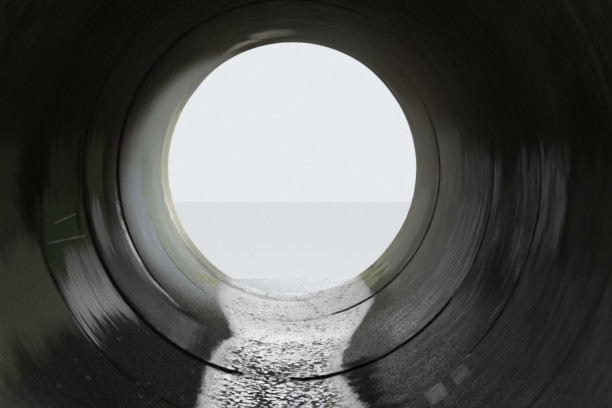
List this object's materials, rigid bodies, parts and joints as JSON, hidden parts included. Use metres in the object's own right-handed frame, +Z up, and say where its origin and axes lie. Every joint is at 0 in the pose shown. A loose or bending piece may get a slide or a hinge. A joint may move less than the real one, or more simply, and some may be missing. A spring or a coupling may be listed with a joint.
{
  "type": "culvert headwall with precast pipe barrel",
  "caption": "Concrete culvert headwall with flared wing walls, copings, apron and cut-off wall, and a barrel of socketed precast pipes on cradles behind it.",
  "frame": {"origin": "on the level ground plane, under the headwall's outer face, on the barrel's centre plane", "axes": "+Z up, +Y back along the barrel away from the headwall's outer face, +X to the right of someone who faces the headwall from outside"},
  "size_m": [4.117, 7.728, 2.72],
  "materials": {
    "cast_concrete": "board-marked cast concrete, weathered",
    "coping_concrete": "trowelled concrete, weathered",
    "footing_concrete": "rough cast concrete",
    "apron_concrete": "worn wet concrete",
    "pipe_concrete": "spun precast concrete, stained",
    "cradle_concrete": "rough cast concrete",
    "mortar": "trowelled mortar",
    "seal_rubber": "matt rubber"
  },
  "bodies": {
    "root": {"headwall": "cast_concrete", "headwall_footing": "footing_concrete", "headwall_coping": "coping_concrete", "barrel_collar": "mortar", "wing_wall_left": "cast_concrete", "wing_wall_right": "cast_concrete", "wing_coping_left": "coping_concrete", "wing_coping_right": "coping_concrete", "apron_slab": "apron_concrete", "cutoff_wall": "footing_concrete", "pipe_1": "pipe_concrete", "pipe_2": "pipe_concrete", "pipe_3": "pipe_concrete", "pipe_4": "pipe_concrete", "pipe_5": "pipe_concrete", "pipe_6": "pipe_concrete", "cradle_1": "cradle_concrete", "cradle_2": "cradle_concrete", "cradle_3": "cradle_concrete", "cradle_4": "cradle_concrete", "cradle_5": "cradle_concrete", "cradle_6": "cradle_concrete", "joint_seal_1": "seal_rubber", "joint_seal_2": "seal_rubber", "joint_seal_3": "seal_rubber", "joint_seal_4": "seal_rubber", "joint_seal_5": "seal_rubber", "joint_mortar_1": "mortar", "joint_mortar_2": "mortar", "joint_mortar_3": "mortar", "joint_mortar_4": "mortar", "joint_mortar_5": "mortar"}
  },
  "joints": []
}
